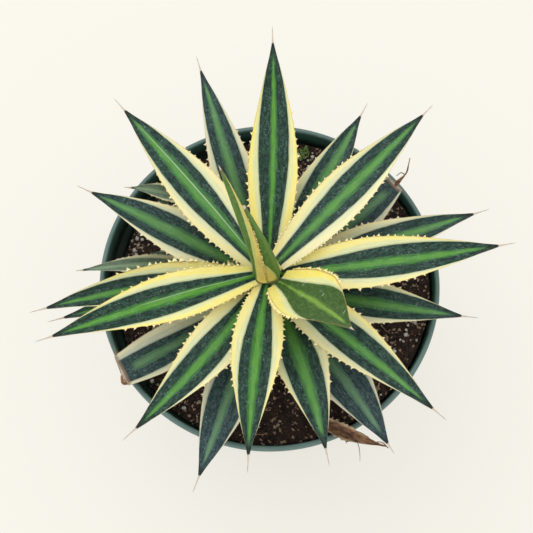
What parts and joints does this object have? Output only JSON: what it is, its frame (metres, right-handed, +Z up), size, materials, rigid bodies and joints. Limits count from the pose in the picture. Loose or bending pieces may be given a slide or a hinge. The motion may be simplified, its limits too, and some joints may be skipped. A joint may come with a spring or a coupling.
{
  "type": "potted agave",
  "caption": "Potted succulent: a rosette of long pointed, toothed, striped leaves around a rolled central spear, growing in a round tapered plastic nursery pot filled with potting mix.",
  "frame": {"origin": "centre of the underside of the pot, on the surface that the pot stands on", "axes": "+Z up, +Y to the far side of the plant, +X to its right; leaf headings are clockwise from +Y seen from above"},
  "size_m": [0.2894, 0.2801, 0.27],
  "materials": {
    "pot_plastic": "satin dark green plastic, greyer on the lip",
    "potting_mix": "crumbly dark peat and bark with white perlite grains",
    "stem_skin": "matte fibrous leaf bases",
    "leaf_blade": "satin waxy leaf, pale yellow margins, dark green bands, lighter mid stripe",
    "young_leaf": "satin waxy young leaf, yellow margin",
    "offset_leaf": "dull grey-green leaf, cream margin",
    "dead_leaf": "matte dried brown leaf"
  },
  "bodies": {
    "root": {"dead_leaf": "dead_leaf", "leaf_01": "leaf_blade", "leaf_02": "leaf_blade", "leaf_03": "leaf_blade", "leaf_04": "leaf_blade", "leaf_05": "leaf_blade", "leaf_06": "leaf_blade", "leaf_07": "leaf_blade", "leaf_08": "leaf_blade", "leaf_09": "leaf_blade", "leaf_10": "leaf_blade", "leaf_11": "leaf_blade", "leaf_12": "leaf_blade", "leaf_13": "leaf_blade", "leaf_14": "leaf_blade", "leaf_15": "leaf_blade", "leaf_16": "leaf_blade", "leaf_17": "leaf_blade", "leaf_18": "leaf_blade", "leaf_19": "leaf_blade", "leaf_20": "leaf_blade", "leaf_21": "leaf_blade", "offset_a_leaf_1": "offset_leaf", "offset_a_leaf_2": "offset_leaf", "offset_a_leaf_3": "offset_leaf", "offset_a_leaf_4": "offset_leaf", "offset_b_leaf_1": "offset_leaf", "offset_b_leaf_2": "offset_leaf", "pot": "pot_plastic", "potting_mix": "potting_mix", "spear_heart": "young_leaf", "spear_inner": "young_leaf", "spear_outer": "young_leaf", "stem": "stem_skin"}
  },
  "joints": []
}
